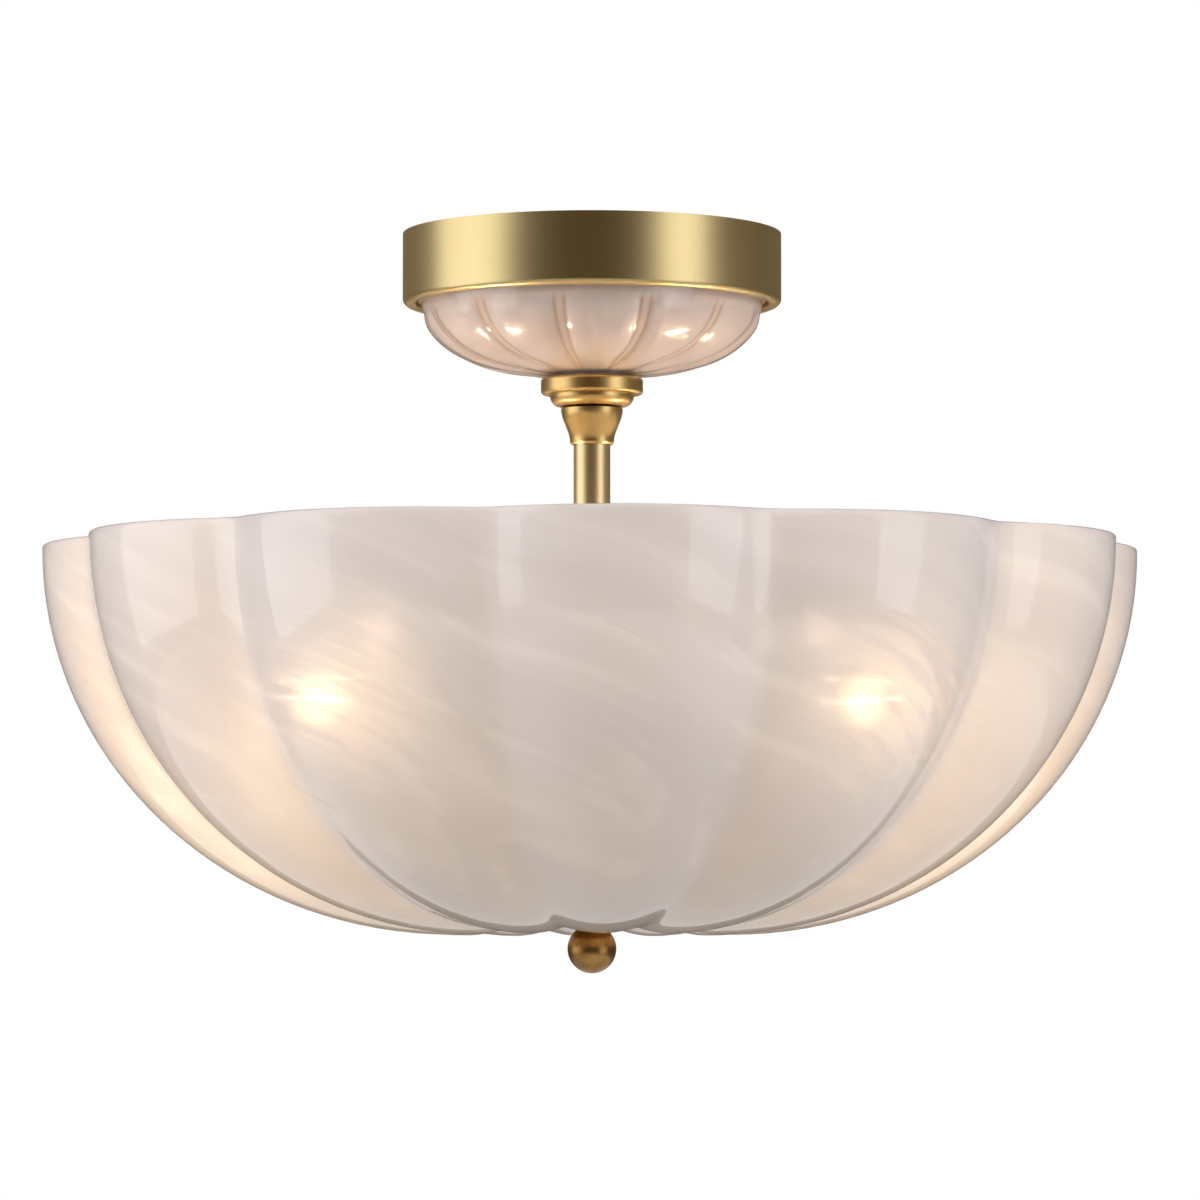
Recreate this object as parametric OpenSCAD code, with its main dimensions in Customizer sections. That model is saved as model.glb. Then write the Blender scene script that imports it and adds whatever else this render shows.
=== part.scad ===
// Semi-flush ceiling light. A fluted glass bowl hangs on a brass stem under a drum canopy, which
// holds a second, small fluted glass. The origin is the centre of the ceiling plane, +Z is up and
// the lamps lie along X. The large bowl comes off downwards once its ball finial is unscrewed.

/* [Canopy] */
// Outside diameter of the brass drum
canopy_d = 156; // [120:1:200]
// Height of the drum under the ceiling
canopy_h = 29.5; // [24:0.5:50]
// Thickness of the spun brass sheet
canopy_wall = 1; // [0.8:0.1:1.6]
// Radius of the rolled lower edge
canopy_edge_r = 2.6; // [2:0.1:4]
// Depth of the recess in the underside that takes the small glass
canopy_recess = 5; // [3:0.5:8]
// Width of the rolled edge, from the outside to the recess
canopy_roll_w = 5.1; // [4.5:0.1:9]

/* [Small glass] */
// Gap round the rim of the small glass in the recess
small_rim_gap = 1.3; // [0.5:0.1:3]
// Height of the small glass
small_h = 33; // [24:0.5:50]
// Straight band at its rim, above the flutes
small_band_h = 2.9; // [2:0.1:6]
// Wall of the small glass
small_wall = 3.5; // [2.5:0.1:5]
// Radius of the flat seat at its lowest point
small_seat_r = 14; // [12:0.5:20]
// Depth of the narrow grooves between its panels
groove_depth = 1.1; // [0.4:0.1:1.6]
// How far each panel bulges past its edges
panel_bulge = 0.5; // [0:0.1:1]
// Thickness of the seal above its rim
small_seal_t = 0.8; // [0.5:0.1:2]

/* [Collar and stem] */
// Diameter of the collar's flange
flange_d = 42; // [36:0.5:60]
// Thickness of the flange
flange_t = 6.9; // [5:0.1:10]
// Rounding of the flange's edges
flange_edge_r = 1.5; // [0.5:0.1:2.4]
// Diameter of the quarter-round ring below the flange
ring_d = 34.4; // [30:0.1:35]
// Height of the quarter-round ring
ring_h = 5; // [3:0.1:8]
// Diameter of the top of the coupling
coupling_d = 25.4; // [23:0.1:28]
// Height of the coupling
coupling_h = 15.6; // [13:0.1:24]
// Diameter of the coupling's lower end
coupling_end_d = 18; // [17:0.1:20]
// Outside diameter of the stem
stem_d = 15.1; // [14.5:0.1:16]
// Wall of the stem
stem_wall = 1.2; // [0.8:0.1:1.6]
// Length of stem between the coupling and the lamp cluster
stem_open = 79; // [60:1:120]
// Depth to which the stem enters the parts above and below it
stem_seat = 8; // [6:0.5:10]
// Thickness of the seal above the flange
collar_seal_t = 1.2; // [0.5:0.1:2]

/* [Ceiling strap] */
// Distance between the centres of the two slots
slot_spacing = 88.9; // [70:0.1:100]
// Width of each slot
slot_w = 5; // [4:0.1:6]
// Length of each slot from end to end
slot_l = 14; // [8:0.5:20]
// Width of the strap
strap_w = 22; // [18:0.5:30]
// Thickness of the strap
strap_t = 2; // [1.5:0.1:3]
// Metal left beyond each slot
strap_end = 5; // [3:0.5:8]
// Depth by which the middle of the strap is offset from the ceiling
strap_drop = 9; // [7:0.5:12]
// Half the length of the offset middle
strap_mid = 24; // [20:0.5:30]
// Length of each slanted stretch of the strap
strap_slant = 8; // [5:0.5:12]

/* [Threaded parts] */
// Diameter of the hollow nipple that joins the strap, collar and coupling
nipple_d = 10; // [9:0.1:11]
// Diameter of the wire way through it
nipple_bore = 7; // [6.6:0.1:7.4]
// Distance across the flats of the nipple's nuts
nipple_nut_af = 14; // [13:0.5:17]
// Height of each of these nuts
nipple_nut_h = 4; // [3:0.5:4.5]
// Diameter of the rod that carries the bowl
rod_d = 6; // [5:0.1:7]
// Length of this rod
rod_l = 92; // [80:1:110]
// Distance across the flats of the rod's nuts
rod_nut_af = 10; // [9.5:0.5:13]
// Height of each of these nuts
rod_nut_h = 5; // [4:0.5:6]
// Radial clearance of threads and of tubes in their sockets
thread_gap = 0.05; // [0.02:0.01:0.1]

/* [Lamp cluster] */
// Diameter of the cluster body
hub_d = 38; // [36:1:50]
// Height of the cluster body
hub_h = 32; // [28:1:40]
// Wall of the cluster body
hub_wall = 1.6; // [1.2:0.1:2.5]
// Diameter of the neck that takes the stem
hub_neck_d = 21; // [19:0.5:26]
// Height of this neck
hub_neck_h = 6; // [3:0.5:7]
// Thickness of the cluster's cover
cover_t = 3; // [2.5:0.1:4]
// Diameter of the cover's screws
cover_screw_d = 3; // [2.5:0.1:3.5]
// Distance from the cluster's axis to each lampholder
holder_x = 26; // [23:0.5:32]

/* [Lampholders] */
// Outside diameter of each lampholder
holder_d = 38; // [34:0.5:42]
// Length of each lampholder
holder_l = 40; // [36:0.5:46]
// Thickness of the lampholder's base
holder_base = 6; // [4:0.5:7]
// Outside diameter of the screw shell
shell_d = 27.8; // [27.6:0.1:29]
// Wall of the screw shell
shell_wall = 0.5; // [0.3:0.1:0.6]
// Length of the screw shell
shell_l = 24; // [20:0.5:28]

/* [Bulbs] */
// Diameter of the bulb's glass
bulb_d = 60; // [50:1:66]
// Overall length of the bulb
bulb_l = 106; // [98:1:112]
// Diameter of the bulb's threaded cap
cap_d = 26.4; // [26:0.1:26.5]
// Length of the cap with its contact
cap_l = 27; // [25:0.5:29]
// Wall of the bulb's glass
bulb_wall = 0.8; // [0.6:0.1:1.2]
// Number of glowing strips in each bulb
strip_count = 4; // [2:1:6]
// Length of each strip
strip_l = 34; // [24:1:38]
// Radius of each strip
strip_r = 1; // [0.6:0.1:1.5]

/* [Large bowl] */
// Diameter of the bowl across its lobes
bowl_d = 450; // [400:1:500]
// Height of the bowl
bowl_h = 159; // [140:1:180]
// Wall of the bowl
bowl_wall = 5; // [4:0.1:7]
// Number of lobes, also of panels in the small glass
lobes = 12; // [8:1:16]
// Depth of the creases between the lobes at the rim
crease_depth = 13; // [6:0.5:18]
// Depth of these creases at the lowest ring
crease_depth_low = 2.4; // [0:0.1:4]
// Radius of the lowest ring
low_ring_r = 57.5; // [45:0.5:75]
// Radius of the flat seat in the middle
bowl_seat_r = 22; // [20:0.5:28]
// Height of the seat over the lowest ring
bowl_dimple = 6.3; // [4:0.1:10]
// Hole in the middle of the bowl
bowl_hole_d = 9; // [8:0.5:12]
// Rounding of the bowl's rim
bowl_rim_r = 1.5; // [0.5:0.1:1.9]
// Radius of the brass washer inside the bowl
inner_washer_r = 19; // [16:0.5:19.5]
// Thickness of this washer
inner_washer_t = 1.5; // [1:0.1:3]
// Thickness of the seals over and under the glass
bowl_seal_t = 1; // [0.5:0.1:2]

/* [Finial] */
// Diameter of the ball
ball_d = 20; // [17:0.5:26]
// Diameter of the short neck on top of it
ball_neck_d = 9; // [8.5:0.5:11]
// Height of this neck
ball_neck_h = 0.5; // [0.3:0.1:2]
// Length of rod inside the ball
ball_thread = 7.4; // [6:0.1:9]
// Radius of the washer above the ball
finial_washer_r = 15; // [12:0.5:18]
// Thickness of this washer
finial_washer_t = 1.6; // [1:0.1:3]

/* [Hidden] */
$fn = 96;

brass = "#b8944a";
dark_brass = "#8a6a32";
steel = "#b4b6b8";
milk_glass = "#ecd6c6";
ceramic = "#ece8e0";
rubber = "#d8d4cc";
eps = 0.01;

// Heights of the stacked parts, from the ceiling down
canopy_r = canopy_d / 2;
floor_z = canopy_recess - canopy_h;
floor_top = floor_z + canopy_wall;
recess_r = canopy_r - canopy_roll_w;
small_rim_z = floor_z - small_seal_t;
small_r = recess_r - small_rim_gap;
small_low_z = small_rim_z - small_h;
flange_top = small_low_z - collar_seal_t;
flange_low = flange_top - flange_t;
ring_low = flange_low - ring_h;
coupling_low = ring_low - coupling_h;
stem_top = coupling_low + stem_seat;
hub_neck_top = coupling_low - stem_open;
hub_top = hub_neck_top - hub_neck_h;
stem_low = hub_neck_top - stem_seat;
lamp_z = hub_top - hub_h / 2;
hub_low = hub_top - hub_h;
cover_low = hub_low - cover_t;
nipple_r = nipple_d / 2;
nipple_way_r = nipple_r + thread_gap;
nipple_top = -strap_drop + nipple_nut_h + 0.5;
nipple_low = stem_top + 1;
stem_way_r = stem_d / 2 + thread_gap;

// Heights of the parts that hang on the rod
rod_r = rod_d / 2;
rod_way_r = rod_r + thread_gap;
rod_top = hub_low + 4;
rod_low = rod_top - rod_l;
ball_top = rod_low + ball_thread;
washer_top = ball_top + finial_washer_t;
seat_z = washer_top + bowl_seal_t;
inner_seat_z = seat_z + bowl_wall;
inner_seal_top = inner_seat_z + bowl_seal_t;
inner_washer_top = inner_seal_top + inner_washer_t;
bowl_low_z = seat_z - bowl_dimple;
bowl_rim_z = bowl_low_z + bowl_h;
bowl_r = bowl_d / 2;
ball_r = ball_d / 2;
ball_neck_r = ball_neck_d / 2;
ball_z = ball_top - ball_neck_h - sqrt(ball_r * ball_r - ball_neck_r * ball_neck_r);

// Places along a lamp's own axis, from the cluster's centre outwards
shell_inset = 3;
cap_gap = 4;
hub_r = hub_d / 2;
holder_end = holder_x + holder_l;
shell_start = holder_end - shell_l - shell_inset;
cap_start = holder_x + holder_base + cap_gap;
glass_start = cap_start + cap_l;
bulb_end = cap_start + bulb_l;
bulb_r = bulb_d / 2;
bulb_centre = bulb_end - bulb_r;
shell_way_r = shell_d / 2 + thread_gap;

// Gaps round seals and washers on the nipple and the rod, and the depth of small bevels
washer_gap = 0.25;
bevel = 0.8;
// How far a cut reaches past the face that it opens
past = 1;

// Screws of the cover, in bosses inside the cluster body
screw_r = cover_screw_d / 2;
screw_way_r = screw_r + thread_gap;
screw_head_r = cover_screw_d * 0.9;
screw_head_h = 1.6;
screw_grip = 7.5;
screw_slot_w = 0.7;
boss_r = screw_r + 1.9;
boss_y = hub_r - hub_wall - boss_r + 0.2;
hub_roof = 2.5;
hub_bevel = 3;

// Earth screw and terminal block in the canopy
ground_x = 17;
ground_r = 2;
ground_head_r = 3.8;
ground_head_h = 2.4;
ground_slot_w = 1;
block_y = 32;
block_size = [28, 15, 12];
block_poles = 3;
pole_pitch = block_size.x / block_poles;
pole_gap = 1.2;
block_waist = 3;
block_step = 4;
block_bore_r = 1.9;
block_screw_r = 1.6;
block_screw_l = 4;
block_screw_y = 4;

// Route of the leads
lead_r = 1.1;
lead_sides = 8;
lead_bend = 4;
lead_x = 1.3;
lead_run_z = -2.4;
lead_entry_z = floor_top + 5;
lead_drop_y = block_y - block_size.y / 2 - lead_bend - 1.5;

// Lampholder: place of its bead and depth of its domed base, and the contact's post
dome_l = 12;
bead_at = 16;
bead_t = 1;
cavity_step = 2;
contact_w = 6;
contact_t = 0.6;
contact_post = 4;

// Bulb: lengths over which its neck swells, its cap's insulator and tip, and its glass stem
neck_l = 16;
shoulder_l = 24;
tip_r = 4.4;
tip_t = 0.8;
insulator_l = 5;
insulator_r = 11;
crown_r = 7;
crown_t = 0.6;
foot_r = 8;
foot_l = 10;
post_r = 2.2;
support_r = 1.2;
support_past = 2;
strip_tilt = 4;

function unit(v) = v / norm(v);

// Lower quarter of a rounded outline in (radius, height): centre, radius, first and last angle
function arc(centre, r, from, to, steps = 8) =
  [for (i = [0:steps]) let (a = from + (to - from) * i / steps) centre + r * [cos(a), sin(a)]];

// Turned outlines of the two glasses. Each gives the crest of a lobe as [radius, height] for a
// place s: 0 to 1 is the flat seat, 1 to 2 the dimple, 2 to 3 the wall up to the rim.
function bowl_crest(s) =
  s <= 1 ? [bowl_hole_d / 2 + (bowl_seat_r - bowl_hole_d / 2) * s, seat_z]
  : s <= 2 ? [bowl_seat_r + (low_ring_r - bowl_seat_r) * (s - 1),
              seat_z - bowl_dimple * (1 - cos(180 * (s - 1))) / 2]
  : [low_ring_r + (bowl_r - low_ring_r) * sin(90 * (s - 2)),
     bowl_rim_z - bowl_rim_r - (bowl_h - bowl_rim_r) * cos(90 * (s - 2))];

function small_crest(s) =
  s <= 1 ? [nipple_way_r + 0.6 + (small_seat_r - nipple_way_r - 0.6) * s, small_low_z]
  : let (t = 90 * (s - 1))
    [small_seat_r + (small_r - small_seat_r) * pow(sin(t), 0.77),
     small_rim_z - small_band_h - (small_h - small_band_h) * pow(cos(t), 1.03)];

// Unit normal of a turned outline, pointing out of the glass
function out_of(before, after) = unit([after.y - before.y, before.x - after.x]);
function bowl_normal(s) = out_of(bowl_crest(s - eps), bowl_crest(s + eps));
function small_normal(s) =
  s >= 2 ? [1, 0] : s <= 1 ? [0, -1] : out_of(small_crest(s - eps), small_crest(s + eps));

// Depth of the crease at a place on the outline
function crease_at(s) =
  s <= 1 ? 0
  : s <= 2 ? crease_depth_low * (1 - cos(180 * (s - 1))) / 2
  : crease_depth_low + (crease_depth - crease_depth_low) * pow(sin(90 * (s - 2)), 1.5);

// Share of that depth across one lobe, where u runs from -1 to 1 and the creases are rounded
crease_round = 0.12;
function lobe_dip(u) =
  pow((1 - norm([1 - abs(u), crease_round])) / (1 - crease_round), 2);

// Dip across one panel of the small glass: a soft bulge and a narrow groove beside it
panel_edge = 0.8;
groove_edge = 0.9;
function panel_dip(u) =
  panel_bulge * u * u
  + groove_depth * min(1, max(0, (abs(u) - panel_edge) / (groove_edge - panel_edge)));

// The flutes fade out at the seat and at the plain band under the rim
function flute_at(s) = s <= 1 || s >= 1.94 ? 0 : min(1, (s - 1) / 0.2, (1.94 - s) / 0.06);

// Places across one lobe at which the glasses have their points
bowl_across = [-1, -0.9, -0.75, -0.5, -0.25, 0, 0.25, 0.5, 0.75, 0.9];
small_across = [-1, -groove_edge, -panel_edge, -0.4, 0, 0.4, panel_edge, groove_edge];

// Places along the outlines at which they have a ring of points
bowl_rings = [0, 1, 1.35, 1.7, for (i = [0:9]) 2 + i / 9];
small_rings = [0, 1, for (i = [1:7]) 1 + i * 0.125, 1.94, 2];
small_inner_rings = [0, 1, 1.15, 1.35, 1.55, 1.75, 1.9, 2];

// One ring of points: an outline point, its normal, and how far in each place is dipped
function ring_points(p, n, across, dips) =
  [for (k = [0:lobes - 1], i = [0:len(across) - 1])
    let (a = (k + across[i] / 2) * 360 / lobes, q = p - n * dips[i])
    [q.x * cos(a), q.x * sin(a), q.y]];

// Closed skin over rings that lead out from the hole, over the rim and back to the hole
module ring_skin(rings) {
  around = len(rings[0]);
  count = len(rings);
  polyhedron(
    points = [for (r = rings) each r],
    faces = [
      for (i = [0:count - 1], j = [0:around - 1])
        let (
          a = i * around + j,
          b = i * around + (j + 1) % around,
          c = ((i + 1) % count) * around + (j + 1) % around,
          d = ((i + 1) % count) * around + j
        )
        each [[a, b, c], [a, c, d]]
    ],
    convexity = 6
  );
}

function bowl_ring(s, inset) =
  let (n = bowl_normal(s), flat = s <= 1 ? [0, -1] : n)
  ring_points(bowl_crest(s) - flat * inset, flat, bowl_across,
              [for (u = bowl_across) crease_at(s) * lobe_dip(u)]);

function bowl_rim_ring(inset) =
  ring_points([bowl_r - inset, bowl_rim_z], [1, 0], bowl_across,
              [for (u = bowl_across) crease_depth * lobe_dip(u)]);

function small_ring(s, inset, fluted = 1) =
  ring_points(small_crest(s) - small_normal(s) * inset, small_normal(s), small_across,
              [for (u = small_across) fluted * flute_at(s) * panel_dip(u)]);

function small_rim_ring(inset) =
  ring_points([small_r - inset, small_rim_z], [1, 0], small_across, [for (u = small_across) 0]);

// Flat ring between two radii, hanging down from a height
module flat_ring(r_in, r_out, top, t) {
  translate([0, 0, top - t])
    difference() {
      cylinder(r = r_out, h = t);
      translate([0, 0, -1])
        cylinder(r = r_in, h = t + 2);
    }
}

// Hexagonal nut with chamfered corners, hanging down from a height
module nut(af, bore_r, top, h) {
  translate([0, 0, top - h])
    difference() {
      intersection() {
        cylinder(d = af / cos(30), h = h, $fn = 6);
        rotate_extrude()
          polygon([
            [0, 0], [af / 2, 0], [af / 2 / cos(30), af * 0.05],
            [af / 2 / cos(30), h - af * 0.05], [af / 2, h], [0, h]
          ]);
      }
      translate([0, 0, -1])
        cylinder(r = bore_r, h = h + 2);
    }
}

// Places a lamp's parts, drawn along +Z, on the left or the right arm
module on_arm(side) {
  translate([0, 0, lamp_z])
    rotate([0, 90 * side, 0])
      children();
}

// One ring of points round a lead, where across is square to the lead
function lead_ring(centre, along, across) =
  let (third = cross(along, across))
  [
    for (j = [0:lead_sides - 1])
      let (a = 360 * j / lead_sides)
      centre + lead_r * (across * cos(a) + third * sin(a))
  ];

// Rings from one turn of a lead to its end. The turns are right angles, and across turns too.
function lead_turns(points, across, i = 1) =
  let (into = unit(points[i] - points[i - 1]))
  i == len(points) - 1 ? [lead_ring(points[i], into, across)]
  : let (
      out = unit(points[i + 1] - points[i]),
      centre = points[i] + (out - into) * lead_bend,
      tip = across * out
    )
    concat(
      [
        for (k = [0:4])
          let (a = 90 * k / 4)
          lead_ring(centre + (into * sin(a) - out * cos(a)) * lead_bend,
                    into * cos(a) + out * sin(a),
                    across - out * tip + (out * cos(a) - into * sin(a)) * tip)
      ],
      lead_turns(points, across - (out + into) * tip, i + 1)
    );

// A round lead through points whose turns are right angles, closed at both ends
module lead(points, across) {
  rings = concat(
    [lead_ring(points[0], unit(points[1] - points[0]), across)],
    lead_turns(points, across)
  );
  n = lead_sides;
  count = len(rings);
  polyhedron(
    points = [for (ring = rings) each ring],
    faces = concat(
      [[for (j = [0:n - 1]) j], [for (j = [n - 1:-1:0]) (count - 1) * n + j]],
      [
        for (i = [0:count - 2], j = [0:n - 1])
          let (a = i * n + j, b = i * n + (j + 1) % n)
          each [[a, b + n, b], [a, a + n, b + n]]
      ]
    )
  );
}

module mounting_strap() {
  end_x = slot_spacing / 2 + slot_l / 2 + strap_end;
  bend_x = strap_mid + strap_slant;
  lean = strap_t * 0.4;
  color(steel)
    difference() {
      rotate([90, 0, 0])
        translate([0, 0, -strap_w / 2])
          linear_extrude(strap_w)
            polygon([
              [-end_x, 0], [-bend_x, 0], [-strap_mid, -strap_drop], [strap_mid, -strap_drop],
              [bend_x, 0], [end_x, 0], [end_x, -strap_t], [bend_x + lean, -strap_t],
              [strap_mid + lean, -strap_drop - strap_t], [-strap_mid - lean, -strap_drop - strap_t],
              [-bend_x - lean, -strap_t], [-end_x, -strap_t]
            ]);
      for (side = [-1, 1])
        translate([side * slot_spacing / 2, 0, -strap_t - 1]) {
          for (end = [-1, 1])
            translate([end * (slot_l - slot_w) / 2, 0, 0])
              cylinder(d = slot_w, h = strap_t + 2);
          translate([-(slot_l - slot_w) / 2, -slot_w / 2, 0])
            cube([slot_l - slot_w, slot_w, strap_t + 2]);
        }
      translate([0, 0, -strap_drop - strap_t - 1])
        cylinder(r = nipple_way_r, h = strap_t + 2);
      translate([ground_x, 0, -strap_drop - strap_t - 1])
        cylinder(r = ground_r + thread_gap, h = strap_t + 2);
    }
}

module ground_screw() {
  color("#5f8a4a")
    translate([ground_x, 0, -strap_drop - strap_t])
      difference() {
        union() {
          translate([0, 0, -ground_head_h])
            rotate_extrude()
              polygon([
                [0, 0], [ground_head_r - 0.6, 0], [ground_head_r, 0.6],
                [ground_head_r, ground_head_h], [0, ground_head_h]
              ]);
          translate([0, 0, -past])
            cylinder(r = ground_r, h = strap_t + 3 + past);
        }
        translate([-ground_head_r - past, -ground_slot_w / 2, -ground_head_h - past])
          cube([2 * (ground_head_r + past), ground_slot_w, ground_head_h / 3 + past]);
      }
}

module threaded_nipple() {
  color(steel)
    translate([0, 0, nipple_low])
      difference() {
        cylinder(r = nipple_r, h = nipple_top - nipple_low);
        translate([0, 0, -1])
          cylinder(d = nipple_bore, h = nipple_top - nipple_low + 2);
      }
}

module nipple_nuts() {
  color(steel) {
    nut(nipple_nut_af, nipple_way_r, -strap_drop + nipple_nut_h, nipple_nut_h);
    nut(nipple_nut_af, nipple_way_r, -strap_drop - strap_t, nipple_nut_h);
  }
}

// Block of joined terminals, each with a cross bore for the wires and a well for its screw
module terminal_block() {
  color(ceramic)
    translate([0, block_y, floor_top])
      difference() {
        union() {
          for (i = [0:block_poles - 1])
            translate([(i - block_poles / 2) * pole_pitch + pole_gap / 2, -block_size.y / 2, 0])
              cube([pole_pitch - pole_gap, block_size.y, block_size.z]);
          translate([(pole_gap - block_size.x) / 2, block_waist - block_size.y / 2, 0])
            cube([block_size.x - pole_gap, block_size.y - 2 * block_waist,
                  block_size.z - block_step]);
        }
        for (i = [0:block_poles - 1])
          translate([(i - (block_poles - 1) / 2) * pole_pitch, 0, 0]) {
            translate([0, -block_size.y, lead_entry_z - floor_top])
              rotate([-90, 0, 0])
                cylinder(r = block_bore_r, h = 2 * block_size.y);
            for (end = [-1, 1])
              translate([0, end * block_screw_y, lead_entry_z - floor_top])
                cylinder(r = block_screw_r + thread_gap, h = block_size.z);
          }
      }
}

module terminal_screws() {
  color(brass)
    for (i = [0:block_poles - 1], end = [-1, 1])
      translate([(i - (block_poles - 1) / 2) * pole_pitch, block_y + end * block_screw_y,
                 lead_entry_z + lead_r])
        difference() {
          cylinder(r = block_screw_r, h = block_screw_l);
          translate([-block_screw_r - past, -screw_slot_w / 2, block_screw_l - bevel])
            cube([2 * (block_screw_r + past), screw_slot_w, bevel + past]);
        }
}

// Spun drum: outer wall, rolled lower edge, the wall of the recess and the floor
module canopy_pan() {
  roll = canopy_r - canopy_edge_r;
  inner_edge = canopy_edge_r - canopy_wall;
  color(brass)
    rotate_extrude($fn = 128)
      polygon(concat(
        [[canopy_r, 0]],
        arc([roll, canopy_edge_r - canopy_h], canopy_edge_r, 0, -90),
        arc([recess_r + canopy_wall, canopy_wall - canopy_h], canopy_wall, -90, -180, 4),
        [
          [recess_r, floor_z], [nipple_way_r, floor_z], [nipple_way_r, floor_top],
          [recess_r + canopy_wall, floor_top], [recess_r + canopy_wall, canopy_wall - canopy_h]
        ],
        arc([roll, canopy_edge_r - canopy_h], inner_edge, -90, 0),
        [[canopy_r - canopy_wall, 0]]
      ));
}

module canopy_glass_seal() {
  color(rubber)
    flat_ring(small_r - small_wall - 2, small_r - washer_gap, floor_z, small_seal_t);
}

// Small bowl: panels with narrow grooves under a plain rim band
module canopy_glass() {
  outer = [for (s = small_rings) small_ring(s, 0)];
  rim = [small_rim_ring(0), small_rim_ring(small_wall)];
  inner = [
    for (i = [len(small_inner_rings) - 1:-1:0])
      small_ring(small_inner_rings[i], small_wall, 0)
  ];
  color(milk_glass)
    ring_skin(concat(outer, rim, inner));
}

module collar_seal() {
  color(rubber)
    flat_ring(nipple_way_r + washer_gap, small_seat_r - 1, small_low_z, collar_seal_t);
}

// Flange with rounded edges over a quarter-round ring
module collar_ring() {
  r = flange_d / 2;
  e = flange_edge_r;
  low_r = coupling_d / 2 + 0.2;
  color(brass)
    rotate_extrude()
      polygon(concat(
        [[nipple_way_r, flange_top]],
        arc([r - e, flange_top - e], e, 90, 0, 5),
        arc([r - e, flange_low + e], e, 0, -90, 5),
        [[ring_d / 2, flange_low]],
        [
          for (i = [0:8])
            let (a = 90 * i / 8)
            [low_r + (ring_d / 2 - low_r) * cos(a), flange_low - bevel - (ring_h - bevel) * sin(a)]
        ],
        [[nipple_way_r, ring_low]]
      ));
}

// Coupling with an S-curved taper, bored for the nipple above and the stem below
module stem_coupling() {
  top_r = coupling_d / 2;
  low_r = coupling_end_d / 2;
  color(brass)
    rotate_extrude()
      polygon(concat(
        [[nipple_way_r, ring_low]],
        [
          for (i = [0:12])
            let (s = i / 12)
            [low_r + (top_r - low_r) * (1 + cos(180 * s)) / 2,
             ring_low - bevel - (coupling_h - 2 * bevel) * s]
        ],
        [
          [low_r - 0.5, coupling_low], [stem_way_r, coupling_low],
          [stem_way_r, stem_top], [nipple_way_r, stem_top]
        ]
      ));
}

module stem_tube() {
  color(brass)
    translate([0, 0, stem_low])
      difference() {
        cylinder(d = stem_d, h = stem_top - stem_low);
        translate([0, 0, -1])
          cylinder(d = stem_d - 2 * stem_wall, h = stem_top - stem_low + 2);
      }
}

// One lead to each lamp, from the terminals down the stem and out along the arm
module supply_leads() {
  color("#e8e2d4")
    for (side = [-1, 1])
      lead([
        [side * pole_pitch, block_y - past, lead_entry_z],
        [side * pole_pitch, lead_drop_y, lead_entry_z],
        [side * pole_pitch, lead_drop_y, lead_run_z],
        [side * pole_pitch, 0, lead_run_z],
        [side * lead_x, 0, lead_run_z],
        [side * lead_x, 0, lamp_z],
        [side * (holder_x + holder_base + 1), 0, lamp_z]
      ], [0, 0, 1]);
}

// Shell open at the bottom, with a neck for the stem, two side bores and two screw bosses
module cluster_body() {
  neck_r = hub_neck_d / 2;
  color(brass)
    difference() {
      union() {
        difference() {
          translate([0, 0, hub_low])
            rotate_extrude()
              polygon([
                [0, 0], [hub_r, 0], [hub_r, hub_h - hub_bevel],
                [hub_r - 0.3 * hub_bevel, hub_h - 0.3 * hub_bevel], [hub_r - hub_bevel, hub_h],
                [neck_r, hub_h], [neck_r, hub_h + hub_neck_h - bevel],
                [neck_r - bevel, hub_h + hub_neck_h], [0, hub_h + hub_neck_h]
              ]);
          translate([0, 0, hub_low - past])
            cylinder(r = hub_r - hub_wall, h = hub_h - hub_roof + past);
        }
        for (side = [-1, 1])
          translate([0, side * boss_y, hub_low + 2])
            cylinder(r = boss_r, h = hub_h - hub_roof - 1.5);
      }
      translate([0, 0, stem_low])
        cylinder(r = stem_way_r, h = stem_seat + past);
      translate([0, 0, lamp_z])
        cylinder(r = stem_d / 2 - stem_wall, h = hub_h);
      for (side = [-1, 1]) {
        on_arm(side)
          cylinder(r = nipple_way_r, h = hub_r + past);
        translate([0, side * boss_y, hub_low])
          cylinder(r = screw_way_r, h = screw_grip + 1.5);
      }
    }
}

module cluster_cover() {
  color(brass)
    translate([0, 0, cover_low])
      difference() {
        union() {
          rotate_extrude()
            polygon([[0, 0], [hub_r - 1, 0], [hub_r, 1], [hub_r, cover_t], [0, cover_t]]);
          cylinder(r = rod_d + 1, h = cover_t + 2);
        }
        translate([0, 0, -past])
          cylinder(r = rod_way_r, h = cover_t + 2 + 2 * past);
        for (side = [-1, 1])
          translate([0, side * boss_y, -past]) {
            cylinder(r = screw_way_r, h = cover_t + 2 * past);
            cylinder(r = screw_head_r + washer_gap, h = screw_head_h + past);
          }
      }
}

module cluster_screws() {
  color(steel)
    for (side = [-1, 1])
      translate([0, side * boss_y, cover_low])
        difference() {
          union() {
            cylinder(r = screw_head_r, h = screw_head_h);
            cylinder(r = screw_r, h = cover_t + screw_grip);
          }
          translate([-screw_head_r, -screw_slot_w / 2, -past])
            cube([2 * screw_head_r, screw_slot_w, bevel + past]);
        }
}

// Hollow nipple between the cluster and a lampholder
module arm() {
  start = hub_r - hub_wall - 4;
  color(brass)
    translate([0, 0, start])
      difference() {
        cylinder(r = nipple_r, h = holder_x + holder_base - 1 - start);
        translate([0, 0, -1])
          cylinder(d = nipple_bore, h = holder_l);
      }
}

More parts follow.
